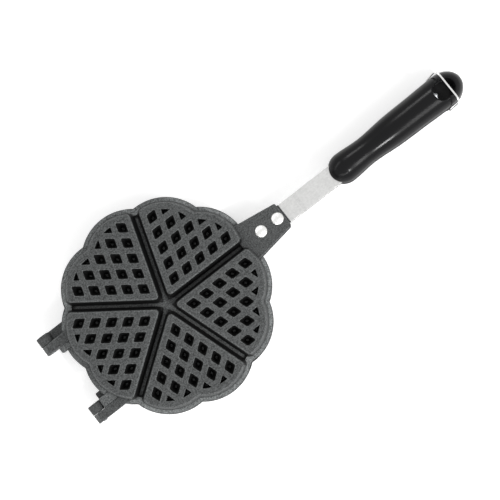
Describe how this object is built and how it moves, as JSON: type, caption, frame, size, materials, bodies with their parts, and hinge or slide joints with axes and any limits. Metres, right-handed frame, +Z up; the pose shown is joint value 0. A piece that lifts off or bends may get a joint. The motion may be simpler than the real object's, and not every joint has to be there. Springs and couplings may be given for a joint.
{
  "type": "heart waffle pan",
  "caption": "Stovetop waffle pan of two hinged cast halves with heart-shaped fields, a split handle and a wire bail that latches it.",
  "frame": {"origin": "on the surface that the pan stands on, below the middle of its box in plan", "axes": "+X along the handle, from the hinge towards the handle's end; +Z up through the closed halves; +Y to the left when looking along +X"},
  "size_m": [0.4604, 0.1986, 0.0371],
  "materials": {
    "non_stick_casting": "cast aluminium with a matt dark grey non-stick coat",
    "strap_steel": "satin",
    "rivet_aluminium": "plain, bright",
    "phenolic": "moulded phenolic, glossy",
    "fastener_steel": "zinc plated",
    "wire_steel": "drawn bright wire"
  },
  "bodies": {
    "lower_half": {"bottom_plate": "non_stick_casting", "bottom_strap": "strap_steel", "bottom_rivets": "rivet_aluminium", "bottom_handle": "phenolic", "bottom_tie_rod": "fastener_steel", "bottom_cap_nut": "fastener_steel", "hinge_pin_left": "fastener_steel", "hinge_pin_right": "fastener_steel"},
    "upper_half": {"top_plate": "non_stick_casting", "top_strap": "strap_steel", "top_rivets": "rivet_aluminium", "top_handle": "phenolic", "top_tie_rod": "fastener_steel", "top_cap_nut": "fastener_steel"},
    "bail": {"latch_bail": "wire_steel"}
  },
  "joints": [
    {"name": "lid_hinge", "type": "hinge", "parent": "lower_half", "child": "upper_half", "pos_m": [-0.2237, 0, 0.017], "axis": [0, -1, 0], "range_deg": [0, 180]},
    {"name": "bail_swing", "type": "hinge", "parent": "lower_half", "child": "bail", "pos_m": [0.2065, -0.00035, 0.008], "axis": [0, 1, 0], "range_deg": [0, 245]}
  ]
}
